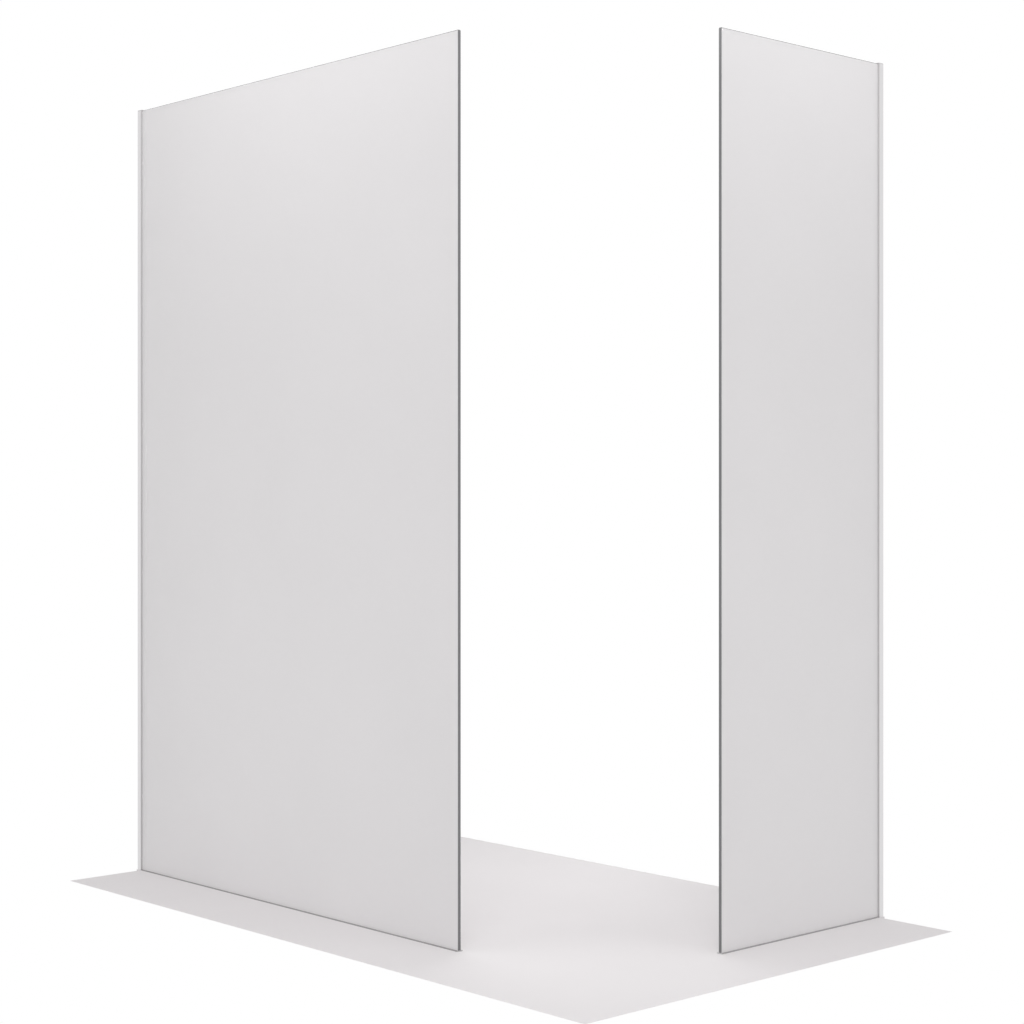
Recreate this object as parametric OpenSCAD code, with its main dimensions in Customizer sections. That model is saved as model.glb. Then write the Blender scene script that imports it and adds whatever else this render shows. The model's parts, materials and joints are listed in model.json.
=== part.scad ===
// Walk-in shower screen: two fixed satin glass panes at a corner, with an open entry between them.
// Each pane stands in a wall channel and a floor channel that are recessed flush with the tiles.

/* [Glass] */
// Thickness of each pane
glass_t = 8; // [6:0.5:10]
// Height of the glass above the finished floor
glass_h = 2000; // [1900:10:2200]
// Width of the long pane from the finished wall to its free edge
long_w = 1270; // [900:5:1500]
// Width of the short pane from the finished wall to its free edge
short_w = 552; // [400:1:900]
// Polished bevel along each glass edge
arris = 1.5; // [0.5:0.1:2]
// Cut across each glass corner
corner_cut = 2; // [1.5:0.5:4]

/* [Entry] */
// Clear width from the long pane's free edge to the short pane's outer face
entry_x = 400; // [300:5:900]
// Clear width from the short pane's free edge to the long pane's outer face
entry_y = 403; // [300:1:900]

/* [Channels] */
// Outer width of each channel, across the glass
channel_w = 15; // [14:0.5:20]
// Depth of each channel, from its back to its lips
channel_d = 15; // [14:0.5:20]
// Thickness of the channel's two side walls
channel_wall = 1.5; // [1.2:0.1:2]
// Thickness of the channel's web, behind the glass edge
channel_web = 2.5; // [2.2:0.1:3]
// Reach of the nib inside each lip that holds the gasket
nib = 0.5; // [0.3:0.1:0.6]
// Height of the nib's straight face
nib_h = 0.8; // [0.5:0.1:1.2]

/* [Gaskets] */
// Depth of the gasket's stem inside the channel
stem_d = 7.5; // [6:0.5:8]
// Height of the gasket's head beside the glass
head_high = 2.2; // [1.5:0.1:3]
// Height of the gasket's head at its outer edge
head_low = 1.2; // [0.8:0.1:1.4]
// Bevel at the foot of the outer gasket
foot_bevel = 0.6; // [0.3:0.1:0.7]
// Depth of the barbs on the inner wedge gasket
barb = 0.6; // [0.3:0.1:0.7]
// Number of barbs on the inner wedge gasket
barb_count = 3; // [2:1:4]
// Clearance beside each gasket
gasket_gap = 0.1; // [0.05:0.05:0.15]

/* [Blocks] */
// Thickness of the blocks between the glass edge and the web
block_t = 2; // [1.8:0.1:3]
// Length of each block
block_len = 60; // [40:5:100]
// Clearance at each side of a block
block_gap = 0.25; // [0.1:0.05:0.5]
// Distance from the pane's visible ends to the middle of a setting block
block_inset = 140; // [100:5:180]

/* [Wall fixings] */
// Number of screw holes in each wall channel
fixing_count = 4; // [2:2:4]
// Distance between neighbouring screw holes
fixing_pitch = 580; // [300:10:590]
// Radius of each screw hole
fixing_r = 2.25; // [1.75:0.25:2.5]
// Radius of each screw hole's countersink
sink_r = 4; // [3.25:0.25:4]

/* [Corner keys] */
// Thickness of the corner key
key_t = 1.5; // [1.4:0.1:1.7]
// Length of each leg of the corner key
key_leg = 40; // [36:1:60]
// Distance from the key's corner to its first screw
key_screw_first = 14; // [10:1:16]
// Distance between the two screws in a leg
key_screw_pitch = 16; // [8:1:18]
// Radius of the key screw's thread
screw_r = 1.25; // [1:0.05:1.3]
// Radius of the key screw's head
screw_head_r = 2.3; // [2:0.05:2.4]
// Height of the straight rim of the key screw's head
screw_rim = 0.2; // [0.1:0.05:0.3]
// Length of the key screw
screw_len = 3.6; // [3:0.1:3.6]
// Width of the hexagon socket across its flats
socket_flats = 1.5; // [1.2:0.1:1.6]
// Depth of the hexagon socket
socket_d = 0.9; // [0.6:0.1:1.1]
// Clearance around a screw
screw_gap = 0.05; // [0.03:0.01:0.08]

/* [Caps] */
// Thickness of each cap's plate
cap_t = 1.5; // [1:0.1:2.5]
// Radius of each cap's corners
cap_corner_r = 1; // [0.5:0.1:1.5]
// Length of each cap's lug
lug_len = 12; // [8:1:20]
// Width of each cap's lug
lug_w = 10; // [6:0.5:10.5]
// Clearance above and below each cap's lug
lug_gap = 0.2; // [0.1:0.05:0.4]

/* [Hidden] */

$fn = 48;
// What a cutting shape reaches past the surface that it cuts
over = 1;

// The channel's inside, measured across from the middle of the glass
inner_half = channel_w / 2 - channel_wall;
mouth_half = inner_half - nib;
nib_low = channel_d - nib_h;
nib_root = nib_low - nib;

// The gaskets' stems and heads, measured across from the middle of the glass
stem_in = glass_t / 2 + gasket_gap;
stem_out = inner_half - gasket_gap;
neck_out = mouth_half - gasket_gap;
head_out = channel_w / 2;
stem_low = channel_d - stem_d;
shoulder_low = nib_root - gasket_gap;
barb_pitch = (shoulder_low - stem_low) / barb_count;

// The glass, measured along a side from the finished wall, and up from the floor channel's underside
glass_bottom = channel_web + block_t;
glass_start = glass_bottom - channel_d;
glass_top = channel_d + glass_h;
glass_mid = channel_d + glass_h / 2;

// The whole screen, from the finished wall beside the long pane and from that pane's outer face
screen_x = long_w + entry_x;
screen_y = short_w + entry_y;
side_out = (channel_w - glass_t) / 2;
middle_x = (screen_x + side_out - channel_d) / 2;
middle_y = (screen_y + channel_d - side_out) / 2;

block_w = 2 * (inner_half - block_gap);
mitre_reach = 2 * channel_d + head_high;
fixing_span = (fixing_count - 1) * fixing_pitch;

glass_colour = [0.91, 0.91, 0.91, 0.9];
aluminium_colour = [0.87, 0.87, 0.87];
wall_gasket_colour = [0.71, 0.7, 0.7];
floor_gasket_colour = [0.59, 0.58, 0.58];
cap_colour = [0.73, 0.72, 0.72];
block_colour = [0.93, 0.92, 0.89];
steel_colour = [0.8, 0.8, 0.82];

// A side's own frame: x runs from the finished wall to the free edge, y is across the glass with the
// outside at minus y, and z is up from the floor channel's underside.
module on_long_side() {
    translate([-middle_x, glass_t / 2 - middle_y, 0]) children();
}

// The short side is the mirror image of the long side, turned to the other wall
module on_short_side() {
    translate([screen_x - glass_t / 2 - middle_x, screen_y - middle_y, 0]) mirror([1, 1, 0]) children();
}

// Profile of a channel: across its width, and out from its back
module channel_profile() {
    polygon([
        [-head_out, 0], [head_out, 0],
        [head_out, channel_d], [mouth_half, channel_d], [mouth_half, nib_low],
        [inner_half, nib_root], [inner_half, channel_web],
        [-inner_half, channel_web], [-inner_half, nib_root],
        [-mouth_half, nib_low], [-mouth_half, channel_d], [-head_out, channel_d]
    ]);
}

// Profile of the outer gasket, on the outer side of the glass
module outer_gasket_profile() {
    mirror([1, 0]) polygon([
        [stem_in, stem_low], [stem_out - foot_bevel, stem_low], [stem_out, stem_low + foot_bevel],
        [stem_out, shoulder_low], [neck_out, shoulder_low + nib], [neck_out, channel_d],
        [head_out, channel_d], [head_out, channel_d + head_low], [stem_in, channel_d + head_high]
    ]);
}

// Profile of the inner gasket, a barbed wedge pressed in after the glass
module inner_gasket_profile() {
    barbs = [
        for (i = [0 : barb_count - 1], end = [0, 1])
            [stem_out - barb * (1 - end), stem_low + (i + end) * barb_pitch]
    ];
    polygon(concat(
        [[stem_in, stem_low]], barbs,
        [[neck_out, shoulder_low + nib], [neck_out, channel_d], [head_out, channel_d],
         [head_out, channel_d + head_low], [stem_in, channel_d + head_high]]
    ));
}

// A profile run along the floor from the back of the wall channel to the free edge, mitred at the wall
module along_floor(width) {
    difference() {
        translate([-channel_d, 0, 0]) rotate([90, 0, 90]) linear_extrude(channel_d + width) children();
        mitre_waste([-channel_d - over, mitre_reach]);
    }
}

// A profile run up the wall from the floor channel's underside to the top of the glass, mitred at the floor
module along_wall() {
    difference() {
        translate([-channel_d, 0, 0]) mirror([1, -1, 0]) linear_extrude(glass_top) children();
        mitre_waste([mitre_reach - channel_d, -over]);
    }
}

// What the mitre removes: the triangle between the mitre line and a corner at [x, z]
module mitre_waste(corner) {
    rotate([90, 0, 0]) linear_extrude(channel_w + 2 * over, center = true)
        polygon([[-channel_d - over, -over], [mitre_reach - channel_d, mitre_reach], corner]);
}

// A rectangle in the plane with its corners cut, from one corner to the opposite one
module cut_rectangle(low, high, cut) {
    polygon([
        [low.x + cut, low.y], [high.x - cut, low.y], [high.x, low.y + cut], [high.x, high.y - cut],
        [high.x - cut, high.y], [low.x + cut, high.y], [low.x, high.y - cut], [low.x, low.y + cut]
    ]);
}

// A rectangle in the plane with round corners, from one corner to the opposite one
module round_rectangle(low, high, r) {
    translate([low.x + r, low.y]) square([high.x - low.x - 2 * r, high.y - low.y]);
    translate([low.x, low.y + r]) square([high.x - low.x, high.y - low.y - 2 * r]);
    for (x = [low.x + r, high.x - r], y = [low.y + r, high.y - r]) translate([x, y]) circle(r);
}

// One pane with bevelled edges and cut corners
module glass_pane(width) {
    half = glass_t / 2;
    intersection() {
        translate([glass_start - over, 0, 0]) rotate([90, 0, 90])
            linear_extrude(width - glass_start + 2 * over)
                cut_rectangle([-half, glass_bottom], [half, glass_top], arris);
        translate([0, 0, glass_bottom - over]) linear_extrude(glass_h + channel_d)
            cut_rectangle([glass_start, -half], [width, half], arris);
        rotate([90, 0, 0]) linear_extrude(glass_t + 2 * over, center = true)
            cut_rectangle([glass_start, glass_bottom], [width, glass_top], corner_cut);
    }
}

// The middle of each countersunk hole's rim on the wall channel's web
module at_fixings() {
    for (i = [0 : fixing_count - 1])
        translate([channel_web - channel_d, 0, glass_mid - fixing_span / 2 + i * fixing_pitch])
            rotate([0, 90, 0]) children();
}

// A screw hole through the web, with its countersink on the glass side
module fixing_hole() {
    rotate_extrude() polygon([
        [0, -channel_web - over], [fixing_r, -channel_web - over], [fixing_r, fixing_r - sink_r],
        [sink_r, 0], [sink_r, over], [0, over]
    ]);
}

// The two screw places in the key's floor leg, on the key's face
module at_floor_key_screws() {
    for (i = [0, 1])
        translate([channel_web - channel_d + key_screw_first + i * key_screw_pitch, 0, channel_web + key_t])
            children();
}

// The two screw places in the key's wall leg, on the key's face
module at_wall_key_screws() {
    for (i = [0, 1])
        translate([channel_web + key_t - channel_d, 0, channel_web + key_screw_first + i * key_screw_pitch])
            rotate([0, 90, 0]) children();
}

// A countersunk screw, or with a clearance the hole for it, from the given depth to the given height
module screw_form(gap, depth, height) {
    r = screw_r + gap;
    head_r = screw_head_r + gap;
    rotate_extrude() polygon([
        [0, -depth], [r, -depth], [r, -screw_rim - head_r + r],
        [head_r, -screw_rim], [head_r, height], [0, height]
    ]);
}

module key_screw() {
    difference() {
        screw_form(0, screw_len, 0);
        translate([0, 0, -socket_d]) cylinder(h = socket_d + over, r = socket_flats / sqrt(3), $fn = 6);
    }
}

module key_screw_hole() {
    screw_form(screw_gap, key_t + channel_web + over, over);
}

module wall_channel() {
    difference() {
        along_wall() channel_profile();
        at_fixings() fixing_hole();
        at_wall_key_screws() key_screw_hole();
    }
}

module floor_channel(width) {
    difference() {
        along_floor(width) channel_profile();
        at_floor_key_screws() key_screw_hole();
    }
}

// The angle that lies on both webs and holds the mitre together
module corner_key() {
    difference() {
        translate([channel_web - channel_d, -block_w / 2, channel_web]) union() {
            cube([key_leg, block_w, key_t]);
            cube([key_t, block_w, key_leg]);
        }
        at_floor_key_screws() key_screw_hole();
        at_wall_key_screws() key_screw_hole();
    }
}

module key_screws() {
    at_floor_key_screws() key_screw();
    at_wall_key_screws() key_screw();
}

// Blocks between the wall channel's web and the glass, halfway between the screw holes
module edge_blocks() {
    for (i = [1 : fixing_count - 1])
        translate([channel_web - channel_d, -block_w / 2,
                   glass_mid - fixing_span / 2 + (i - 1 / 2) * fixing_pitch - block_len / 2])
            cube([block_t, block_w, block_len]);
}

// Blocks under the glass that carry its weight
module setting_blocks(width) {
    for (x = [block_inset, width - block_inset])
        translate([x - block_len / 2, -block_w / 2, channel_web]) cube([block_len, block_w, block_t]);
}

// The moulded cap on top of the wall channel, with its lug behind the glass edge
module wall_top_cap() {
    translate([0, 0, glass_top]) linear_extrude(cap_t)
        round_rectangle([-channel_d, -head_out], [head_high, head_out], cap_corner_r);
    translate([channel_web - channel_d + lug_gap, -lug_w / 2, glass_top - lug_len])
        cube([block_t - 2 * lug_gap, lug_w, lug_len]);
}

// The moulded cap at the floor channel's free end, as high as the gaskets, with its lug under the glass
module floor_end_cap(width) {
    translate([width, 0, 0]) rotate([90, 0, 90]) linear_extrude(cap_t)
        round_rectangle([-head_out, 0], [head_out, channel_d + head_high], cap_corner_r);
    translate([width - lug_len, -lug_w / 2, channel_web + lug_gap])
        cube([lug_len, lug_w, block_t - 2 * lug_gap]);
}

module long_glass_pane() { color(glass_colour) on_long_side() glass_pane(long_w); }
module long_wall_channel() { color(aluminium_colour) on_long_side() wall_channel(); }
module long_floor_channel() { color(aluminium_colour) on_long_side() floor_channel(long_w); }
module long_corner_key() { color(aluminium_colour) on_long_side() corner_key(); }
module long_key_screws() { color(steel_colour) on_long_side() key_screws(); }
module long_wall_outer_gasket() {
    color(wall_gasket_colour) on_long_side() along_wall() outer_gasket_profile();
}
module long_wall_inner_gasket() {
    color(wall_gasket_colour) on_long_side() along_wall() inner_gasket_profile();
}
module long_floor_outer_gasket() {
    color(floor_gasket_colour) on_long_side() along_floor(long_w) outer_gasket_profile();
}
module long_floor_inner_gasket() {
    color(floor_gasket_colour) on_long_side() along_floor(long_w) inner_gasket_profile();
}
module long_edge_blocks() { color(block_colour) on_long_side() edge_blocks(); }
module long_setting_blocks() { color(block_colour) on_long_side() setting_blocks(long_w); }
module long_wall_top_cap() { color(cap_colour) on_long_side() wall_top_cap(); }
module long_floor_end_cap() { color(cap_colour) on_long_side() floor_end_cap(long_w); }

module short_glass_pane() { color(glass_colour) on_short_side() glass_pane(short_w); }
module short_wall_channel() { color(aluminium_colour) on_short_side() wall_channel(); }
module short_floor_channel() { color(aluminium_colour) on_short_side() floor_channel(short_w); }
module short_corner_key() { color(aluminium_colour) on_short_side() corner_key(); }
module short_key_screws() { color(steel_colour) on_short_side() key_screws(); }
module short_wall_outer_gasket() {
    color(wall_gasket_colour) on_short_side() along_wall() outer_gasket_profile();
}
module short_wall_inner_gasket() {
    color(wall_gasket_colour) on_short_side() along_wall() inner_gasket_profile();
}
module short_floor_outer_gasket() {
    color(floor_gasket_colour) on_short_side() along_floor(short_w) outer_gasket_profile();
}
module short_floor_inner_gasket() {
    color(floor_gasket_colour) on_short_side() along_floor(short_w) inner_gasket_profile();
}
module short_edge_blocks() { color(block_colour) on_short_side() edge_blocks(); }
module short_setting_blocks() { color(block_colour) on_short_side() setting_blocks(short_w); }
module short_wall_top_cap() { color(cap_colour) on_short_side() wall_top_cap(); }
module short_floor_end_cap() { color(cap_colour) on_short_side() floor_end_cap(short_w); }

long_glass_pane();
long_wall_channel();
long_floor_channel();
long_corner_key();
long_key_screws();
long_wall_outer_gasket();
long_wall_inner_gasket();
long_floor_outer_gasket();
long_floor_inner_gasket();
long_edge_blocks();
long_setting_blocks();
long_wall_top_cap();
long_floor_end_cap();
short_glass_pane();
short_wall_channel();
short_floor_channel();
short_corner_key();
short_key_screws();
short_wall_outer_gasket();
short_wall_inner_gasket();
short_floor_outer_gasket();
short_floor_inner_gasket();
short_edge_blocks();
short_setting_blocks();
short_wall_top_cap();
short_floor_end_cap();
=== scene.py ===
"""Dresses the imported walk-in shower screen: detailed pieces, finishes, a stage and a camera."""

import json
import math
from contextlib import contextmanager

import bmesh
import bpy
from bpy.props import FloatProperty, FloatVectorProperty, IntProperty, PointerProperty
from mathutils import Matrix, Vector


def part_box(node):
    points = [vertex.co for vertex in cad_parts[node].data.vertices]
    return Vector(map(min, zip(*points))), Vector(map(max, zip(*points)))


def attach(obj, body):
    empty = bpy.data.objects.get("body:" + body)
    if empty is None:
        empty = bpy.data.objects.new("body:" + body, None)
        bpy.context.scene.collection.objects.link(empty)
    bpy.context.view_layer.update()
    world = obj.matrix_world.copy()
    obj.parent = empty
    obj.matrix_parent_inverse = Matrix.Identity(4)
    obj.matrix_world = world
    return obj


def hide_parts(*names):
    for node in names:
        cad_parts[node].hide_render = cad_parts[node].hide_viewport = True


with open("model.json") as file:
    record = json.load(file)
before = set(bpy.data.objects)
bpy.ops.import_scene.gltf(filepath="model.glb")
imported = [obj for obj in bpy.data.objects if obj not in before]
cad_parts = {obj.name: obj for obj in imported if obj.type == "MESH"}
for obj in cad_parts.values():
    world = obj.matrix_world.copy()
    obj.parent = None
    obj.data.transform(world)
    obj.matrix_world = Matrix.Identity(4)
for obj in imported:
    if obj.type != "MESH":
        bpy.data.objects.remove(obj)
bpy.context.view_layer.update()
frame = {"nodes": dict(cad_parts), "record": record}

bl_info = {
    "name": "Walk-in Shower Screen",
    "version": (1, 0, 0),
    "blender": (4, 5, 0),
    "location": "View3D > Sidebar > Shower Screen",
    "description": "Models the pieces of a corner walk-in shower screen and gives them their finishes",
    "category": "Object",
}

BODY = "root"
SIDES = ("long", "short")
PLACES = ("wall", "floor")
MM = 0.001

# How close two points are merged, and how flat two faces are that become one
MERGE = 0.005 * MM
FLAT = math.radians(0.5)
# Edges sharper than this are rounded, and shaded as edges where they stay
SHARP = math.radians(28)
SMOOTH = math.radians(40)
# How far along an axis a face's normal points where the face counts as facing that way, or as square to it
FACING = 0.9
SQUARE = 0.999

GLASS_IOR = 1.5

# The way along each side's channels, by what they stand on
RUNS = {"wall": {"long": (0.0, 0.0, 1.0), "short": (0.0, 0.0, 1.0)},
        "floor": {"long": (1.0, 0.0, 0.0), "short": (0.0, 1.0, 0.0)}}

# Each lamp: its name, its power in watts, its width, its spread in degrees, its place,
# and the point that it faces
LAMPS = (
    ("Far lamp", 55.8, 2.0, 180, (2.6, -2.4, 4.0), (0.2, -0.1, 1.0)),
    ("Inner lamp", 3.55, 1.0, 60, (-0.15, 0.12, 3.0), (-0.15, 0.12, 0.0)),
    ("Long side high lamp", 5.0, 1.0, 180, (-0.2, -1.1, 2.7), (-0.2, -0.48, 1.7)),
    ("Long side low lamp", 5.8, 1.2, 180, (-0.2, -2.2, 0.35), (-0.2, -0.48, 0.35)),
    ("Short side high lamp", 4.15, 0.8, 180, (1.45, 0.25, 2.7), (0.84, 0.2, 1.7)),
    ("Short side low lamp", 5.5, 1.2, 180, (2.5, 0.2, 0.35), (0.84, 0.2, 0.35)),
)


def on_screen(red, green, blue):
    """Linear colour values of a colour given by its levels on screen, from 0 to 255."""
    return tuple(((level / 255 + 0.055) / 1.055) ** 2.4 for level in (red, green, blue))


def size_property(name, description, default):
    """A length that a user may change, given in metres."""
    return FloatProperty(name=name, description=description, default=default, min=0, precision=5,
                         unit="LENGTH")


def colour_property(name, description, default):
    """A colour that a user may change, in linear values."""
    return FloatVectorProperty(name=name, description=description, default=default, min=0, max=1,
                               subtype="COLOR")


def share_property(name, description, default):
    """A share from none to all, such as a roughness."""
    return FloatProperty(name=name, description=description, default=default, min=0, max=1,
                         subtype="FACTOR")


def place_property(name, description, default):
    """A point that a user may move, given in metres."""
    return FloatVectorProperty(name=name, description=description, default=default,
                               subtype="TRANSLATION", unit="LENGTH")


class GlassSettings(bpy.types.PropertyGroup):
    """Sizes and colours of the panes."""

    corner_cut: size_property("Corner cut", "Cut across each corner of a pane", 2 * MM)
    arris: size_property("Arris", "Polished bevel around both faces of a pane", 1.5 * MM)
    softening: size_property("Softening", "Rounding where the arris meets a face or an edge", 0.15 * MM)
    face_colour: colour_property("Face colour", "Colour of the satin faces", on_screen(233, 231, 232))
    edge_colour: colour_property("Edge colour", "Colour of the polished edges", on_screen(115, 115, 117))
    roughness: share_property("Satin roughness", "Roughness of the etched faces", 0.62)
    light_through: share_property("Light through", "Share of light that passes the satin faces", 0.2)
    grain: size_property("Etched grain", "Size of the etched grain", 0.35 * MM)


class TrimSettings(bpy.types.PropertyGroup):
    """Sizes and colours of the channels, gaskets, caps, blocks, keys and screws."""

    channel_rounding: size_property("Channel rounding", "Rounding of the channels' edges", 0.2 * MM)
    head_rounding: size_property("Gasket head rounding", "Rounding of the gaskets' heads", 0.5 * MM)
    gasket_rounding: size_property("Gasket rounding", "Rounding of the gaskets' hidden edges", 0.1 * MM)
    cap_rounding: size_property("Cap rounding", "Rounding of the caps' outer rims", 0.5 * MM)
    block_rounding: size_property("Block rounding", "Rounding of the blocks' edges", 0.125 * MM)
    groove_width: size_property("Groove width", "Width of the grooves in a block", 1 * MM)
    groove_depth: size_property("Groove depth", "Depth of the grooves in a block", 0.3 * MM)
    groove_pitch: size_property("Groove pitch", "Distance between the grooves in a block", 2 * MM)
    groove_pairs: IntProperty(name="Groove pairs", description="Grooves on each side of a block's middle",
                              default=2, min=1, max=2)
    key_rounding: size_property("Key rounding", "Rounding of the keys' edges", 0.08 * MM)
    screw_rounding: size_property("Screw rounding", "Rounding of the screws' edges and threads", 0.04 * MM)
    thread_pitch: size_property("Thread pitch", "Distance between the turns of a screw's thread", 0.45 * MM)
    thread_root: share_property("Thread root", "Radius at the thread's root as a share of its crest's", 0.84)
    thread_turns: IntProperty(name="Thread turns", description="Turns of thread on each screw", default=4,
                              min=0, max=4)
    aluminium: colour_property("Aluminium", "Colour of the anodised channels and keys",
                               on_screen(222, 221, 222))
    wall_gasket: colour_property("Wall gaskets", "Colour of the wall gaskets", on_screen(180, 178, 179))
    # The floor gaskets' colour is darker than the wall gaskets' partly by painted shade: the contact shadow
    # along the panes' feet
    floor_gasket: colour_property("Floor gaskets", "Colour of the floor gaskets", on_screen(150, 148, 149))
    cap: colour_property("Caps", "Colour of the moulded caps", on_screen(185, 183, 184))
    block: colour_property("Blocks", "Colour of the plastic blocks", on_screen(236, 234, 228))
    steel: colour_property("Steel", "Colour of the screws", on_screen(205, 205, 208))


class StageSettings(bpy.types.PropertyGroup):
    """The floor, the light and the camera."""

    floor_colour: colour_property("Floor colour", "Colour of the floor", on_screen(222, 219, 220))
    floor_front: size_property("Floor in front", "Floor before the long pane's outer face", 0.2145)
    floor_right: size_property("Floor at the right", "Floor beyond the short pane's outer face", 0.2078)
    floor_rim: size_property("Floor rim", "Floor around the wall channels' feet", 2 * MM)
    floor_thickness: size_property("Floor thickness", "Thickness of the floor", 30 * MM)
    floor_undercut: size_property("Floor undercut", "How far the floor's front sides slope in", 0.25)
    surround: FloatProperty(name="Surround", description="Strength of the even light from all around",
                            default=0.667, min=0)
    lamps: FloatProperty(name="Lamps", description="Strength of all the lamps against their own power",
                         default=1, min=0)
    eye: place_property("Eye", "Place of the camera", (3.733, -3.3445, 1.0168))
    azimuth: FloatProperty(name="Azimuth", description="Turn of the camera's level view from +Y to -X",
                           default=math.radians(47.4785), subtype="ANGLE")
    lens: FloatProperty(name="Lens", description="Focal length of the camera, in millimetres",
                        default=70.7006, min=1, unit="CAMERA")
    shift: FloatProperty(name="Shift", description="Vertical shift of the camera, in picture widths",
                         default=-0.02183)


def on_axis(axis, length=1.0):
    """A vector of a length along one of the three axes."""
    return Vector([length if number == axis else 0.0 for number in range(3)])


def span(points):
    """Lowest and highest corner of the box around some points."""
    return [Vector(map(end, *points)) for end in (min, max)]


def side_axes(side):
    """The matrix from a side's own axes to the frame: along from the finished wall, across, and up."""
    pane_low, pane_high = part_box(side + "_glass_pane")
    wall_low, wall_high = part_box(side + "_wall_channel")
    middle = (pane_low + pane_high) / 2
    if side == "long":
        return Matrix.Translation((wall_high.x, middle.y, 0))
    turned = Matrix(((0, -1, 0, 0), (-1, 0, 0, 0), (0, 0, 1, 0), (0, 0, 0, 1)))
    return Matrix.Translation((middle.x, wall_low.y, 0)) @ turned


def side_box(side, node):
    """Lowest and highest corner of a CAD node in its side's own axes."""
    back = side_axes(side).inverted()
    return span([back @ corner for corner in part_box(node)])


def only(piece):
    """Selects one object and nothing else."""
    bpy.ops.object.select_all(action="DESELECT")
    piece.select_set(True)
    bpy.context.view_layer.objects.active = piece


@contextmanager
def edit_mode(piece):
    """Opens a piece in edit mode and closes it again."""
    only(piece)
    bpy.ops.object.mode_set(mode="EDIT")
    yield
    bpy.ops.object.mode_set(mode="OBJECT")


def pick(piece, kind, wanted):
    """In edit mode, selects the edges or faces that the test wants."""
    bpy.ops.mesh.select_all(action="DESELECT")
    bpy.ops.mesh.select_mode(type=kind)
    mesh = bmesh.from_edit_mesh(piece.data)
    mesh.normal_update()
    for item in [item for item in (mesh.edges if kind == "EDGE" else mesh.faces) if wanted(item)]:
        item.select_set(True)
    bmesh.update_edit_mesh(piece.data)


def cut_across(axis, place):
    """In edit mode, cuts the selected faces through at a place on an axis."""
    bpy.ops.mesh.bisect(plane_co=on_axis(axis, place), plane_no=on_axis(axis), threshold=MERGE)


def cube(name, low, high):
    """A cube primitive that fills the box between two corners, with its place in its mesh."""
    bpy.ops.object.select_all(action="DESELECT")
    bpy.ops.mesh.primitive_cube_add(size=1, location=(low + high) / 2, scale=high - low)
    bpy.ops.object.transform_apply(location=True, rotation=False, scale=True)
    piece = bpy.context.object
    piece.name = piece.data.name = name
    return piece


def copy_of(node, name, splits=()):
    """A new piece with a CAD node's shape, its loose triangles merged into clean faces.

    A split is an axis and a place on it. It passes through a hole's middle, so that no face has a hole in it.
    """
    piece = bpy.data.objects.new(name, frame["nodes"][node].data.copy())
    piece.data.name = name
    piece.data.materials.clear()
    bpy.context.scene.collection.objects.link(piece)
    with edit_mode(piece):
        bpy.ops.mesh.customdata_custom_splitnormals_clear()
        bpy.ops.mesh.select_all(action="SELECT")
        bpy.ops.mesh.remove_doubles(threshold=MERGE)
        for axis, place in splits:
            bpy.ops.mesh.select_all(action="SELECT")
            cut_across(axis, place)
            pick(piece, "EDGE", lambda edge: all(abs(tip.co[axis] - place) < MERGE for tip in edge.verts))
            bpy.ops.mesh.mark_seam()
        bpy.ops.mesh.select_all(action="SELECT")
        if splits:
            bpy.ops.mesh.remove_doubles(threshold=MERGE)
            bpy.ops.mesh.dissolve_degenerate(threshold=MERGE)
            join_flat(piece)
        bpy.ops.mesh.select_all(action="SELECT")
        bpy.ops.mesh.mark_seam(clear=True)
        if not splits:
            bpy.ops.mesh.dissolve_limited(angle_limit=FLAT)
    return piece


def linked_groups(items, linked_to):
    """Parts items into groups of those that are linked, always in the same order."""
    left, groups = dict.fromkeys(items), []
    while left:
        group = [left.popitem()[0]]
        for item in group:
            for other in linked_to(item):
                if other in left:
                    del left[other]
                    group.append(other)
        groups.append(group)
    return groups


def join_flat(piece):
    """In edit mode, joins the faces of each flat region between seams into one face."""
    mesh = bmesh.from_edit_mesh(piece.data)
    mesh.normal_update()

    def level_with(face):
        shared = [edge for edge in face.edges if not edge.seam and edge.calc_face_angle() < FLAT]
        return [other for edge in shared for other in edge.link_faces]

    for region in linked_groups(mesh.faces, level_with):
        bmesh.ops.dissolve_faces(mesh, faces=region, use_verts=True)
    bmesh.update_edit_mesh(piece.data)


def loose_boxes(node):
    """Lowest and highest corner of each loose solid in a CAD node."""
    mesh = bmesh.new()
    mesh.from_mesh(frame["nodes"][node].data)
    bmesh.ops.remove_doubles(mesh, verts=mesh.verts, dist=MERGE)
    solids = linked_groups(mesh.verts, lambda tip: [edge.other_vert(tip) for edge in tip.link_edges])
    boxes = [span([tip.co for tip in solid]) for solid in solids]
    mesh.free()
    return boxes


def screw_splits(side):
    """Splits through the middles of a side's key screws."""
    run = 0 if side == "long" else 1
    splits = []
    for low, high in loose_boxes(side + "_key_screws"):
        axis = run if high.z - low.z < high[run] - low[run] else 2
        splits.append((axis, (low[axis] + high[axis]) / 2))
    return splits


def fixing_splits(side):
    """Splits through the middles of the screw holes in a side's wall channel."""
    splits = []
    for mount in frame["record"]["mounts"]:
        if mount["name"].startswith(side + "_wall_screws"):
            half = mount["dims"]["spacing_y_mm"] / 2 * MM
            splits += [(2, mount["pos_m"][2] + offset) for offset in (-half, half)]
    return splits


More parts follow.
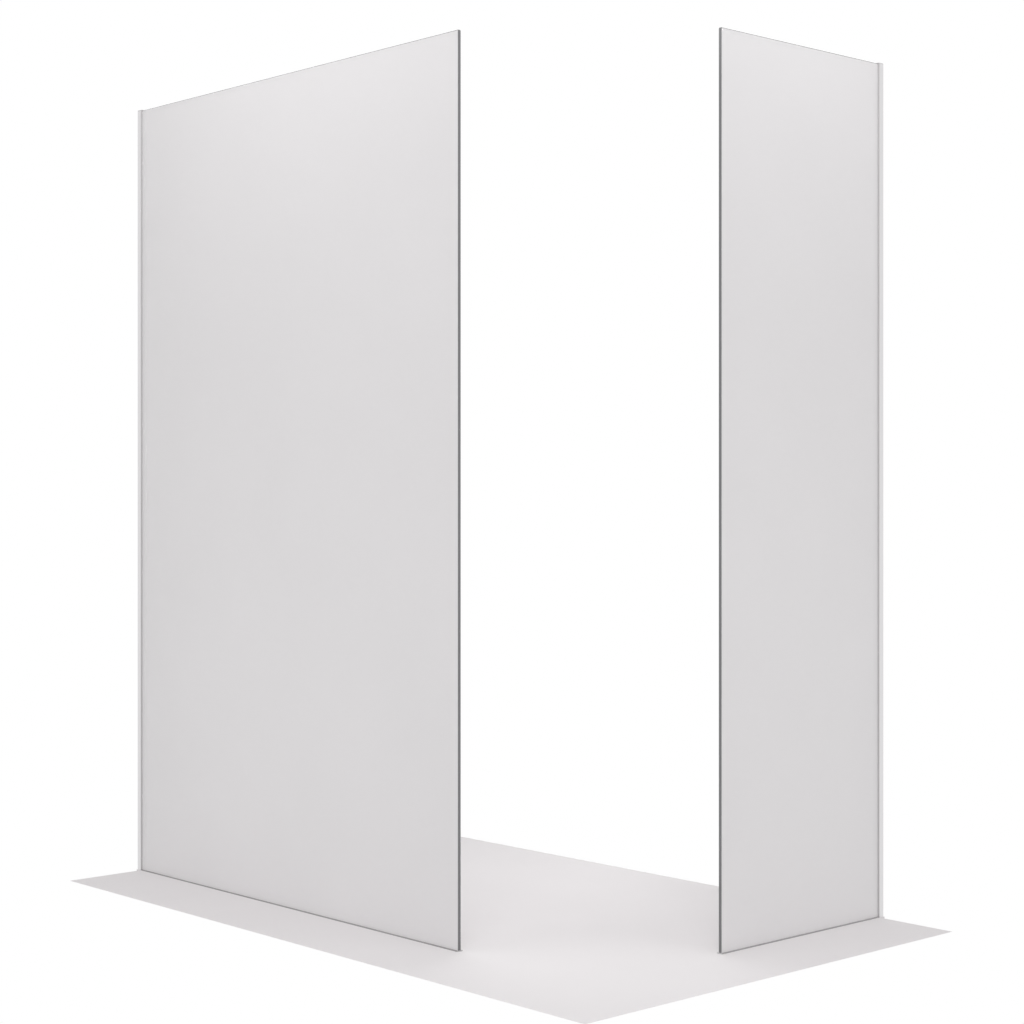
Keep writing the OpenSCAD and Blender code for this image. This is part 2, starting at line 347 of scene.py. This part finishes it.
def soften(piece, width, segments=2):
    """Rounds a piece's sharp edges, keeps its faces flat in shading, and applies the modifier."""
    only(piece)
    bevel = piece.modifiers.new("Soft edges", "BEVEL")
    bevel.width = width
    bevel.segments = segments
    bevel.limit_method = "ANGLE"
    bevel.angle_limit = SHARP
    bevel.use_clamp_overlap = False
    bevel.miter_outer = "MITER_ARC"
    bpy.ops.object.modifier_apply(modifier=bevel.name)
    bpy.ops.object.shade_smooth_by_angle(angle=SMOOTH)
    normals = piece.modifiers.new("Flat faces", "WEIGHTED_NORMAL")
    normals.keep_sharp = True
    bpy.ops.object.modifier_apply(modifier=normals.name)


def to_frame(piece, side):
    """Moves a mesh modelled in a side's own axes to the frame, with its faces outwards again."""
    piece.data.transform(side_axes(side))
    with edit_mode(piece):
        bpy.ops.mesh.select_all(action="SELECT")
        bpy.ops.mesh.normals_make_consistent(inside=False)


def finish_piece(piece, node, slot, *materials):
    """Holds a piece in its node's box, gives it its materials and its body, and hides that node. Its slot is
    not used.
    """
    low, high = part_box(node)
    for vertex in piece.data.vertices:
        vertex.co = [min(max(place, least), most) for place, least, most in zip(vertex.co, low, high)]
    for material in materials:
        piece.data.materials.append(material)
    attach(piece, BODY)
    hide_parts(node)


def feed(tree, socket, value):
    """Gives an input socket its value, or links it where the value is another socket."""
    if isinstance(value, bpy.types.NodeSocket):
        tree.links.new(value, socket)
    else:
        socket.default_value = value


def feed_all(tree, node, inputs):
    """Gives a node's inputs their values by their names."""
    for name, value in inputs.items():
        feed(tree, node.inputs[name], value)


def add_node(tree, kind, inputs=None, **settings):
    """Adds a shader node with its settings and its inputs."""
    node = tree.nodes.new(kind)
    for name, value in settings.items():
        setattr(node, name, value)
    feed_all(tree, node, inputs or {})
    return node


def range_of(tree, value, low, high, to_low=0.0, to_high=1.0):
    """A socket with the value taken from one range to another, and held inside it."""
    node = add_node(tree, "ShaderNodeMapRange", {
        "Value": value, "From Min": low, "From Max": high, "To Min": to_low, "To Max": to_high})
    return node.outputs["Result"]


def value_of(tree, operation, one, two, **settings):
    """A socket with the result of an operation on two values."""
    node = add_node(tree, "ShaderNodeMath", {0: one, 1: two}, operation=operation, **settings)
    return node.outputs["Value"]


def product(tree, one, two):
    """A socket with two values multiplied."""
    return value_of(tree, "MULTIPLY", one, two)


def one_over(tree, value):
    """A socket with one divided by a value."""
    return value_of(tree, "DIVIDE", 1.0, value)


def noise_of(tree, vector, scale, detail, roughness=0.5):
    """A socket with a noise over a vector."""
    node = add_node(tree, "ShaderNodeTexNoise", {
        "Vector": vector, "Scale": scale, "Detail": detail, "Roughness": roughness})
    return node.outputs["Fac"]


def blend_of(tree, share, one, two):
    """A socket with a colour between two others."""
    node = add_node(tree, "ShaderNodeMix", data_type="RGBA")
    for name, value in (("Factor_Float", share), ("A_Color", one), ("B_Color", two)):
        feed(tree, next(socket for socket in node.inputs if socket.identifier == name), value)
    return next(socket for socket in node.outputs if socket.identifier == "Result_Color")


def new_group(name, inputs, outputs):
    """A node group with named inputs and outputs, and its two end nodes."""
    group = bpy.data.node_groups.new(name, "ShaderNodeTree")
    for label, kind, value in inputs:
        socket = group.interface.new_socket(name=label, in_out="INPUT", socket_type=kind)
        if value is not None:
            socket.default_value = value
    for label in outputs:
        group.interface.new_socket(name=label, in_out="OUTPUT", socket_type="NodeSocketFloat")
    return group, group.nodes.new("NodeGroupInput"), group.nodes.new("NodeGroupOutput")


def grain_group():
    """Fine even grain: what etching leaves on glass, and a mould's spark finish on plastic."""
    group, given, put = new_group("Fine grain", [
        ("Vector", "NodeSocketVector", None), ("Size", "NodeSocketFloat", 0.001),
        ("Cloud size", "NodeSocketFloat", 0.1)], ["Height", "Mask", "Cloud"])
    fineness = one_over(group, given.outputs["Size"])
    fine = noise_of(group, given.outputs["Vector"], fineness, detail=2.0, roughness=0.6)
    cloudiness = one_over(group, given.outputs["Cloud size"])
    cloud = noise_of(group, given.outputs["Vector"], cloudiness, detail=3.0)
    cells = add_node(group, "ShaderNodeTexVoronoi", {
        "Vector": given.outputs["Vector"], "Scale": fineness}, feature="SMOOTH_F1")
    pits = range_of(group, cells.outputs["Distance"], 0.0, 0.8, 0.6, 1.0)
    feed_all(group, put, {
        "Height": product(group, fine, pits), "Mask": range_of(group, fine, 0.35, 0.65),
        "Cloud": range_of(group, cloud, 0.3, 0.7)})
    return group


def drawn_group():
    """Fine lines along a run: die lines on an extrusion, grinding lines on a polished edge."""
    group, given, put = new_group("Drawn lines", [
        ("Vector", "NodeSocketVector", None), ("Pitch", "NodeSocketFloat", 0.0005),
        ("Length", "NodeSocketFloat", 0.5), ("Run", "NodeSocketVector", (0.0, 0.0, 1.0))],
        ["Height", "Mask"])
    across = one_over(group, given.outputs["Pitch"])
    drop = value_of(group, "SUBTRACT", one_over(group, given.outputs["Length"]), across)
    even = add_node(group, "ShaderNodeCombineXYZ", {"X": across, "Y": across, "Z": across})
    along = add_node(group, "ShaderNodeVectorMath", {
        0: given.outputs["Run"], "Scale": drop}, operation="SCALE")
    scale = add_node(group, "ShaderNodeVectorMath", {
        0: even.outputs["Vector"], 1: along.outputs["Vector"]}, operation="ADD")
    stretched = add_node(group, "ShaderNodeVectorMath", {
        0: given.outputs["Vector"], 1: scale.outputs["Vector"]}, operation="MULTIPLY")
    lines = noise_of(group, stretched.outputs["Vector"], 1.0, detail=3.0, roughness=0.6)
    feed_all(group, put, {"Height": lines, "Mask": range_of(group, lines, 0.35, 0.65)})
    return group


def wear_group():
    """Wear along edges: where the rounded normal leaves the true one, broken up by a noise."""
    group, given, put = new_group("Edge wear", [
        ("Vector", "NodeSocketVector", None), ("Reach", "NodeSocketFloat", 0.0004),
        ("Patch size", "NodeSocketFloat", 0.01)], ["Mask"])
    rounded = add_node(group, "ShaderNodeBevel", {"Radius": given.outputs["Reach"]}, samples=4)
    true = add_node(group, "ShaderNodeNewGeometry")
    match = add_node(group, "ShaderNodeVectorMath", {
        0: rounded.outputs["Normal"], 1: true.outputs["Normal"]}, operation="DOT_PRODUCT")
    edge = range_of(group, match.outputs["Value"], 0.995, 0.9)
    patchiness = one_over(group, given.outputs["Patch size"])
    patches = noise_of(group, given.outputs["Vector"], patchiness, detail=4.0)
    feed_all(group, put, {"Mask": product(group, edge, range_of(group, patches, 0.4, 0.6))})
    return group


def dust_group():
    """A trace of dust on what faces up."""
    group, given, put = new_group("Dust", [
        ("Vector", "NodeSocketVector", None), ("Patch size", "NodeSocketFloat", 0.02)], ["Mask"])
    facing = add_node(group, "ShaderNodeNewGeometry")
    split = add_node(group, "ShaderNodeSeparateXYZ", {"Vector": facing.outputs["Normal"]})
    upward = range_of(group, split.outputs["Z"], 0.5, 1.0)
    patchiness = one_over(group, given.outputs["Patch size"])
    patches = noise_of(group, given.outputs["Vector"], patchiness, detail=5.0)
    feed_all(group, put, {"Mask": product(group, upward, range_of(group, patches, 0.35, 0.7))})
    return group


def place_group(tree, name, make, inputs):
    """Places a shared node group in a material, and builds the group the first time."""
    node = tree.nodes.new("ShaderNodeGroup")
    node.node_tree = bpy.data.node_groups.get(name) or make()
    feed_all(tree, node, inputs)
    return node.outputs


def place_grain(tree, vector, size, cloud):
    """Places fine grain of a size, in clouds of a size."""
    return place_group(tree, "Fine grain", grain_group, {"Vector": vector, "Size": size, "Cloud size": cloud})


def place_lines(tree, vector, pitch, length, run):
    """Places drawn lines of a length at a pitch, along a run."""
    return place_group(tree, "Drawn lines", drawn_group, {
        "Vector": vector, "Pitch": pitch, "Length": length, "Run": run})


def place_wear(tree, vector, reach, patch):
    """Places edge wear that reaches from an edge, in patches of a size, and gives its mask."""
    return place_group(tree, "Edge wear", wear_group, {
        "Vector": vector, "Reach": reach, "Patch size": patch})["Mask"]


def place_dust(tree, vector, patch):
    """Places dust in patches of a size, and gives its mask."""
    return place_group(tree, "Dust", dust_group, {"Vector": vector, "Patch size": patch})["Mask"]


def opaque(colour, scale=1.0):
    """A colour with alpha 1, made darker or lighter by a factor."""
    return (*(min(1.0, level * scale) for level in colour), 1.0)


def new_material(name):
    """A material with a Principled BSDF, and the socket with its object coordinates."""
    material = bpy.data.materials.new(name)
    material.use_nodes = True
    tree = material.node_tree
    surface = tree.nodes["Principled BSDF"]
    place = add_node(tree, "ShaderNodeTexCoord")
    return material, tree, surface, place.outputs["Object"]


def tint_of(tree, mask, colour, darker, lighter):
    """A socket with a colour between two shades of itself, each given as a factor."""
    return blend_of(tree, mask, opaque(colour, darker), opaque(colour, lighter))


def roughness_of(tree, mask, middle, reach):
    """A socket with a roughness around a middle value."""
    return range_of(tree, mask, 0.0, 1.0, middle - reach, middle + reach)


def bump(tree, surface, height, distance, strength):
    """Feeds a height to the surface's normal."""
    node = add_node(tree, "ShaderNodeBump", {"Height": height, "Distance": distance, "Strength": strength})
    tree.links.new(node.outputs["Normal"], surface.inputs["Normal"])


def satin_glass(settings):
    """Etched glass: pale, cloudy by a hair, with a fine grain."""
    material, tree, surface, place = new_material("Satin glass")
    grain = place_grain(tree, place, size=settings.grain, cloud=0.3)
    feed_all(tree, surface, {
        "Base Color": tint_of(tree, grain["Cloud"], settings.face_colour, 0.985, 1.0),
        "Roughness": roughness_of(tree, grain["Mask"], settings.roughness, 0.04),
        "Transmission Weight": settings.light_through,
        "IOR": GLASS_IOR})
    bump(tree, surface, grain["Height"], distance=0.02 * MM, strength=0.3)
    return material


def polished_edge(settings, run, label):
    """A polished glass edge: dark, smooth, with faint grinding lines along it."""
    material, tree, surface, place = new_material("Polished glass edge " + label)
    lines = place_lines(tree, place, pitch=0.4 * MM, length=0.06, run=run)
    feed_all(tree, surface, {
        "Base Color": tint_of(tree, lines["Mask"], settings.edge_colour, 0.9, 1.08),
        "Roughness": roughness_of(tree, lines["Mask"], 0.16, 0.04),
        "IOR": GLASS_IOR})
    bump(tree, surface, lines["Height"], distance=0.005 * MM, strength=0.3)
    return material


def anodised_aluminium(settings, run, label):
    """Satin anodised aluminium with die lines along its run and brighter worn edges."""
    material, tree, surface, place = new_material("Anodised aluminium " + label)
    lines = place_lines(tree, place, pitch=0.35 * MM, length=0.4, run=run)
    wear = place_wear(tree, place, reach=0.4 * MM, patch=8 * MM)
    base = tint_of(tree, lines["Mask"], settings.aluminium, 0.93, 1.0)
    feed_all(tree, surface, {
        "Base Color": blend_of(tree, product(tree, wear, 0.5), base, opaque(settings.aluminium, 1.12)),
        "Metallic": 1.0,
        "Roughness": roughness_of(tree, lines["Mask"], 0.44, 0.06)})
    bump(tree, surface, lines["Height"], distance=0.01 * MM, strength=0.4)
    return material


def gasket_rubber(colour, run, label):
    """Matt extruded rubber with faint lines along its run."""
    material, tree, surface, place = new_material("Gasket rubber " + label)
    lines = place_lines(tree, place, pitch=0.5 * MM, length=0.2, run=run)
    grain = place_grain(tree, place, size=0.25 * MM, cloud=0.05)
    dust = place_dust(tree, place, patch=12 * MM)
    # For the floor gaskets the given colour holds painted contact shade
    base = tint_of(tree, lines["Mask"], colour, 0.94, 1.04)
    feed_all(tree, surface, {
        "Base Color": blend_of(tree, product(tree, dust, 0.15), base, opaque(on_screen(205, 203, 200))),
        "Roughness": roughness_of(tree, grain["Mask"], 0.675, 0.075),
        "Specular IOR Level": 0.35})
    bump(tree, surface, grain["Height"], distance=0.02 * MM, strength=0.4)
    return material


def moulded_plastic(colour, label, grain_size, roughness, dusty):
    """Moulded plastic with its spark grain, paler along its edges."""
    material, tree, surface, place = new_material(label)
    grain = place_grain(tree, place, size=grain_size, cloud=0.03)
    wear = place_wear(tree, place, reach=0.5 * MM, patch=5 * MM)
    dust = place_dust(tree, place, patch=8 * MM)
    base = tint_of(tree, grain["Cloud"], colour, 0.96, 1.03)
    worn = blend_of(tree, product(tree, wear, 0.35), base, opaque(colour, 1.25))
    feed_all(tree, surface, {
        "Base Color": blend_of(tree, product(tree, dust, dusty), worn, opaque(on_screen(210, 208, 205))),
        "Roughness": roughness_of(tree, grain["Mask"], roughness, 0.06)})
    bump(tree, surface, grain["Height"], distance=0.03 * MM, strength=0.5)
    return material


def stainless_steel(settings):
    """Bright stainless steel with turning marks and worn edges."""
    material, tree, surface, place = new_material("Stainless steel")
    grain = place_grain(tree, place, size=0.15 * MM, cloud=4 * MM)
    wear = place_wear(tree, place, reach=0.15 * MM, patch=2 * MM)
    base = tint_of(tree, grain["Cloud"], settings.steel, 0.9, 1.0)
    feed_all(tree, surface, {
        "Base Color": blend_of(tree, product(tree, wear, 0.6), base, opaque(settings.steel, 1.2)),
        "Metallic": 1.0,
        "Roughness": roughness_of(tree, grain["Mask"], 0.28, 0.06)})
    bump(tree, surface, grain["Height"], distance=0.008 * MM, strength=0.4)
    return material


def floor_finish(settings):
    """The plain pale floor, with a very faint cloud."""
    material, tree, surface, place = new_material("Pale floor")
    grain = place_grain(tree, place, size=1.5 * MM, cloud=0.25)
    feed_all(tree, surface, {
        "Base Color": tint_of(tree, grain["Cloud"], settings.floor_colour, 0.99, 1.0),
        "Roughness": 0.7,
        "Specular IOR Level": 0.3})
    return material


class SHOWERSCREEN_OT_glass_panes(bpy.types.Operator):
    """Model both satin glass panes with cut corners and polished arrises"""

    bl_idname = "shower_screen.glass_panes"
    bl_label = "Glass Panes"

    def execute(self, context):
        settings = context.scene.shower_glass
        satin = satin_glass(settings)
        upright = polished_edge(settings, RUNS["wall"]["long"], "upright")
        for side in SIDES:
            level = polished_edge(settings, RUNS["floor"][side], side + " level")
            node = side + "_glass_pane"
            low, high = side_box(side, node)
            pane = cube(node + "_dressed", low, high)
            with edit_mode(pane):
                pick(pane, "EDGE", lambda edge: abs(edge.verts[0].co.y - edge.verts[1].co.y) > MM)
                bpy.ops.mesh.bevel(offset=settings.corner_cut, segments=1, affect="EDGES")
                pick(pane, "EDGE", lambda edge: edge.verts[0].co.y == edge.verts[1].co.y)
                bpy.ops.mesh.bevel(offset=settings.arris, segments=1, affect="EDGES")
            soften(pane, settings.softening, 3)
            for face in pane.data.polygons:
                along, across, up = (abs(part) for part in face.normal)
                face.material_index = 0 if across > SQUARE else (1 if along > up else 2)
            to_frame(pane, side)
            finish_piece(pane, node, "satin_glass", satin, upright, level)
        return {"FINISHED"}


class SHOWERSCREEN_OT_channels(bpy.types.Operator):
    """Model the four anodised channels with softly rounded edges"""

    bl_idname = "shower_screen.channels"
    bl_label = "Channels"

    def execute(self, context):
        settings = context.scene.shower_trim
        for place in PLACES:
            for side in SIDES:
                node = side + "_" + place + "_channel"
                splits = screw_splits(side) + (fixing_splits(side) if place == "wall" else [])
                channel = copy_of(node, node + "_dressed", splits)
                soften(channel, settings.channel_rounding)
                finish = anodised_aluminium(settings, RUNS[place][side], side + " " + place)
                finish_piece(channel, node, "anodised_aluminium", finish)
        return {"FINISHED"}


class SHOWERSCREEN_OT_corner_keys(bpy.types.Operator):
    """Model the two corner keys"""

    bl_idname = "shower_screen.corner_keys"
    bl_label = "Corner Keys"

    def execute(self, context):
        settings = context.scene.shower_trim
        for side in SIDES:
            node = side + "_corner_key"
            key = copy_of(node, node + "_dressed", screw_splits(side))
            soften(key, settings.key_rounding)
            finish = anodised_aluminium(settings, RUNS["floor"][side], side + " key")
            finish_piece(key, node, "anodised_aluminium", finish)
        return {"FINISHED"}


def cut_threads(screws, side, settings):
    """In edit mode, in the side's own axes, cuts a ring into each screw at every turn of its thread."""
    back = side_axes(side).inverted()
    reach = settings.thread_pitch / 3
    for corners in loose_boxes(side + "_key_screws"):
        tip, head = span([back @ corner for corner in corners])
        axis = 0 if head.x - tip.x < head.z - tip.z else 2
        scale = [1 if number == axis else settings.thread_root for number in range(3)]

        def on_screw(*points):
            return all(tip[number] - MERGE < point[number] < head[number] + MERGE
                       for point in points for number in range(3))

        for turn in range(settings.thread_turns):
            root = tip[axis] + (turn + 1) * settings.thread_pitch
            for place in (root - reach, root, root + reach):
                pick(screws, "FACE", lambda face: on_screw(face.calc_center_median()))
                cut_across(axis, place)
            pick(screws, "EDGE", lambda edge: on_screw(*(end.co for end in edge.verts)) and all(
                abs(end.co[axis] - root) < MERGE for end in edge.verts))
            bpy.ops.transform.resize(value=scale, center_override=(tip + head) / 2)


class SHOWERSCREEN_OT_key_screws(bpy.types.Operator):
    """Model the countersunk socket screws in the corner keys"""

    bl_idname = "shower_screen.key_screws"
    bl_label = "Key Screws"

    def execute(self, context):
        settings = context.scene.shower_trim
        finish = stainless_steel(settings)
        for side in SIDES:
            node = side + "_key_screws"
            screws = copy_of(node, node + "_dressed", screw_splits(side))
            screws.data.transform(side_axes(side).inverted())
            with edit_mode(screws):
                cut_threads(screws, side, settings)
            to_frame(screws, side)
            soften(screws, settings.screw_rounding)
            finish_piece(screws, node, "stainless_steel", finish)
        return {"FINISHED"}


class SHOWERSCREEN_OT_gaskets(bpy.types.Operator):
    """Model the eight pressed-in gaskets with round heads"""

    bl_idname = "shower_screen.gaskets"
    bl_label = "Gaskets"

    def execute(self, context):
        settings = context.scene.shower_trim
        for place in PLACES:
            # The floor gaskets get the darker colour, which holds painted contact shade
            colour = settings.wall_gasket if place == "wall" else settings.floor_gasket
            slot = place + "_gasket"
            for side in SIDES:
                finish = gasket_rubber(colour, RUNS[place][side], side + " " + place)
                back = side_axes(side).inverted()
                lip = side_box(side, side + "_" + place + "_channel")[1]
                for layer in ("outer", "inner"):
                    node = "_".join((side, place, layer, "gasket"))
                    gasket = copy_of(node, node + "_dressed")

                    def on_head(edge):
                        one, two = (back @ vertex.co - lip for vertex in edge.verts)
                        proud = min(one.x, two.x) if place == "wall" else min(one.z, two.z)
                        return proud > MM and abs(one.y - two.y) < MERGE

                    with edit_mode(gasket):
                        pick(gasket, "EDGE", on_head)
                        bpy.ops.mesh.bevel(offset=settings.head_rounding, segments=4, affect="EDGES")
                    soften(gasket, settings.gasket_rounding)
                    finish_piece(gasket, node, slot, finish)
        return {"FINISHED"}


def cut_grooves(block, side, thickness_axis, settings):
    """Cuts grooves along both bearing faces of the blocks, at equal distances from the glass's middle."""
    axis = 1 if side == "long" else 0
    middle = side_axes(side).translation[axis]
    half = settings.groove_width / 2
    centres = [sign * (place - 0.5) * settings.groove_pitch
               for place in range(1, settings.groove_pairs + 1) for sign in (-1, 1)]
    for centre in centres:
        for border in (centre - half, centre + half):
            bpy.ops.mesh.select_all(action="SELECT")
            cut_across(axis, middle + border)
    for direction in (-1, 1):
        def in_groove(face):
            across = face.calc_center_median()[axis] - middle
            near = min(abs(across - centre) for centre in centres)
            return face.normal[thickness_axis] * direction > FACING and near < half

        pick(block, "FACE", in_groove)
        move = on_axis(thickness_axis, -direction * settings.groove_depth)
        bpy.ops.mesh.extrude_region_move(TRANSFORM_OT_translate={"value": move})


class SHOWERSCREEN_OT_blocks(bpy.types.Operator):
    """Model the plastic setting blocks and edge blocks with their grooves"""

    bl_idname = "shower_screen.blocks"
    bl_label = "Blocks"

    def execute(self, context):
        settings = context.scene.shower_trim
        finish = moulded_plastic(settings.block, "Block plastic",
                                 grain_size=0.4 * MM, roughness=0.5, dusty=0.0)
        for side in SIDES:
            for kind in ("setting", "edge"):
                node = side + "_" + kind + "_blocks"
                blocks = copy_of(node, node + "_dressed")
                thickness_axis = 2 if kind == "setting" else (0 if side == "long" else 1)
                with edit_mode(blocks):
                    cut_grooves(blocks, side, thickness_axis, settings)
                soften(blocks, settings.block_rounding)
                finish_piece(blocks, node, "block_plastic", finish)
        return {"FINISHED"}


class SHOWERSCREEN_OT_caps(bpy.types.Operator):
    """Model the moulded top caps and end caps with round rims"""

    bl_idname = "shower_screen.caps"
    bl_label = "Caps"

    def execute(self, context):
        settings = context.scene.shower_trim
        finish = moulded_plastic(settings.cap, "Cap plastic",
                                 grain_size=0.2 * MM, roughness=0.45, dusty=0.1)
        for side in SIDES:
            back = side_axes(side).inverted()
            for node, axis in ((side + "_wall_top_cap", 2), (side + "_floor_end_cap", 0)):
                cap = copy_of(node, node + "_dressed")
                face = side_box(side, node)[1][axis]

                def on_rim(edge):
                    return all(abs((back @ vertex.co)[axis] - face) < MERGE for vertex in edge.verts)

                with edit_mode(cap):
                    pick(cap, "EDGE", on_rim)
                    bpy.ops.mesh.bevel(offset=settings.cap_rounding, segments=4, affect="EDGES")
                soften(cap, settings.gasket_rounding)
                finish_piece(cap, node, "cap_plastic", finish)
        return {"FINISHED"}


def grown(node, rim):
    """A CAD node's box, made larger by a rim."""
    low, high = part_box(node)
    return low - Vector((rim, rim, 0)), high + Vector((rim, rim, 0))


def covers(box, point):
    """Whether a box holds a point, seen from above."""
    return all(box[0][axis] < point[axis] < box[1][axis] for axis in (0, 1))


def add_floor(settings):
    """The floor between the two walls' faces, with slots for the recessed channels."""
    pane_long, pane_short = (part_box(side + "_glass_pane") for side in SIDES)
    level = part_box("long_floor_channel")[1].z
    left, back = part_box("long_wall_channel")[1].x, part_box("short_wall_channel")[0].y
    front, right = pane_long[0].y - settings.floor_front, pane_short[1].x + settings.floor_right
    feet = [grown(side + "_wall_channel", settings.floor_rim) for side in SIDES]
    slots = [span([corner for name in ("_floor_end_cap", "_floor_channel", "_wall_channel")
                   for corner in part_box(side + name)]) for side in SIDES]
    low, high = Vector((feet[0][0].x, front, level)), Vector((right, feet[1][1].y, level))
    bpy.ops.object.select_all(action="DESELECT")
    bpy.ops.mesh.primitive_plane_add(size=1, location=(low + high) / 2)
    floor = bpy.context.object
    floor.name = floor.data.name = "floor"
    floor.scale = (high.x - low.x, high.y - low.y, 1)
    bpy.ops.object.transform_apply(location=True, rotation=False, scale=True)
    lines = [(0, left), (1, back)]
    lines += [(axis, corner[axis]) for box in feet + slots for corner in box for axis in (0, 1)]
    with edit_mode(floor):
        for axis, place in lines:
            if low[axis] < place < high[axis]:
                bpy.ops.mesh.select_all(action="SELECT")
                cut_across(axis, place)

        def outside(face):
            middle = face.calc_center_median()
            in_room = middle.x > left and middle.y < back
            return not in_room and not any(covers(foot, middle) for foot in feet)

        pick(floor, "FACE", outside)
        bpy.ops.mesh.delete(type="FACE")
        pick(floor, "FACE", lambda face: any(covers(slot, face.calc_center_median()) for slot in slots))
        bpy.ops.mesh.extrude_region_move(TRANSFORM_OT_translate={"value": on_axis(2, -level)})
        pick(floor, "EDGE", lambda edge: edge.is_boundary)
        bpy.ops.mesh.extrude_region_move(
            TRANSFORM_OT_translate={"value": on_axis(2, -settings.floor_thickness)})
        bpy.ops.mesh.edge_face_add()
        under = level - settings.floor_thickness
        for axis, line, move in ((1, front, settings.floor_undercut), (0, right, -settings.floor_undercut)):
            pick(floor, "EDGE", lambda edge: all(
                abs(vertex.co.z - under) < MM and abs(vertex.co[axis] - line) < MM for vertex in edge.verts))
            bpy.ops.transform.translate(value=on_axis(axis, move))
    floor.data.materials.append(floor_finish(settings))


def add_surround(settings):
    """Even light from all around, and a white background for the camera, gloss and glass."""
    world = bpy.data.worlds.new("Surround")
    bpy.context.scene.world = world
    world.use_nodes = True
    tree = world.node_tree
    tree.nodes.clear()
    path = add_node(tree, "ShaderNodeLightPath")
    seen = value_of(tree, "ADD", path.outputs["Is Camera Ray"], path.outputs["Is Glossy Ray"])
    seen = value_of(tree, "ADD", seen, path.outputs["Is Transmission Ray"], use_clamp=True)
    light, white = (add_node(tree, "ShaderNodeBackground", {
        "Color": (1.0, 1.0, 1.0, 1.0), "Strength": strength}) for strength in (settings.surround, 1.0))
    mix = add_node(tree, "ShaderNodeMixShader", {
        0: seen, 1: light.outputs["Background"], 2: white.outputs["Background"]})
    add_node(tree, "ShaderNodeOutputWorld", {"Surface": mix.outputs["Shader"]})


def add_lamp(name, power, size, spread, place, target):
    """A soft square lamp that faces a point and isn't seen itself."""
    lamp = bpy.data.lights.new(name, "AREA")
    lamp.shape = "SQUARE"
    lamp.size = size
    lamp.energy = power
    lamp.spread = math.radians(spread)
    holder = bpy.data.objects.new(name, lamp)
    holder.location = place
    holder.rotation_euler = (Vector(target) - Vector(place)).to_track_quat("-Z", "Y").to_euler()
    holder.visible_camera = False
    bpy.context.scene.collection.objects.link(holder)


def add_camera(settings):
    """The camera at the eye's height, level, with its horizon shifted."""
    camera = bpy.data.cameras.new("Camera")
    camera.lens = settings.lens
    camera.sensor_width = 36.0
    camera.shift_y = settings.shift
    holder = bpy.data.objects.new("Camera", camera)
    holder.location = settings.eye
    holder.rotation_euler = (math.pi / 2, 0.0, settings.azimuth)
    bpy.context.scene.collection.objects.link(holder)
    bpy.context.scene.camera = holder


class SHOWERSCREEN_OT_stage(bpy.types.Operator):
    """Set up the floor, the light and the camera"""

    bl_idname = "shower_screen.stage"
    bl_label = "Stage"

    def execute(self, context):
        settings = context.scene.shower_stage
        add_camera(settings)
        add_surround(settings)
        for name, power, *rest in LAMPS:
            add_lamp(name, power * settings.lamps, *rest)
        add_floor(settings)
        context.scene.view_settings.view_transform = "Standard"
        return {"FINISHED"}


PIECE_OPERATORS = (
    SHOWERSCREEN_OT_glass_panes, SHOWERSCREEN_OT_channels, SHOWERSCREEN_OT_corner_keys,
    SHOWERSCREEN_OT_key_screws, SHOWERSCREEN_OT_gaskets, SHOWERSCREEN_OT_blocks, SHOWERSCREEN_OT_caps,
)


class SHOWERSCREEN_PT_pieces(bpy.types.Panel):
    """The screen's operators and settings"""

    bl_label = "Shower Screen"
    bl_idname = "SHOWERSCREEN_PT_pieces"
    bl_space_type = "VIEW_3D"
    bl_region_type = "UI"
    bl_category = "Shower Screen"

    def draw(self, context):
        column = self.layout.column(align=True)
        for operator in (SHOWERSCREEN_OT_stage, *PIECE_OPERATORS):
            column.operator(operator.bl_idname)
        for name in SETTINGS:
            settings = getattr(context.scene, name)
            box = self.layout.box()
            for label in settings.bl_rna.properties.keys():
                if label not in ("rna_type", "name"):
                    box.prop(settings, label)


SETTINGS = {"shower_glass": GlassSettings, "shower_trim": TrimSettings, "shower_stage": StageSettings}
CLASSES = (*SETTINGS.values(), SHOWERSCREEN_OT_stage, *PIECE_OPERATORS, SHOWERSCREEN_PT_pieces)


def register():
    """Makes the settings, the operators and the panel known."""
    for item in CLASSES:
        bpy.utils.register_class(item)
    for name, item in SETTINGS.items():
        setattr(bpy.types.Scene, name, PointerProperty(type=item))


def unregister():
    """Takes away all that register made known."""
    for name in SETTINGS:
        delattr(bpy.types.Scene, name)
    for item in reversed(CLASSES):
        bpy.utils.unregister_class(item)


def main():
    """Builds everything."""
    register()
    bpy.ops.object.select_all(action="DESELECT")
    bpy.ops.shower_screen.stage()
    for operator in PIECE_OPERATORS:
        group, name = operator.bl_idname.split(".")
        getattr(getattr(bpy.ops, group), name)()


if __name__ == "__main__":
    main()
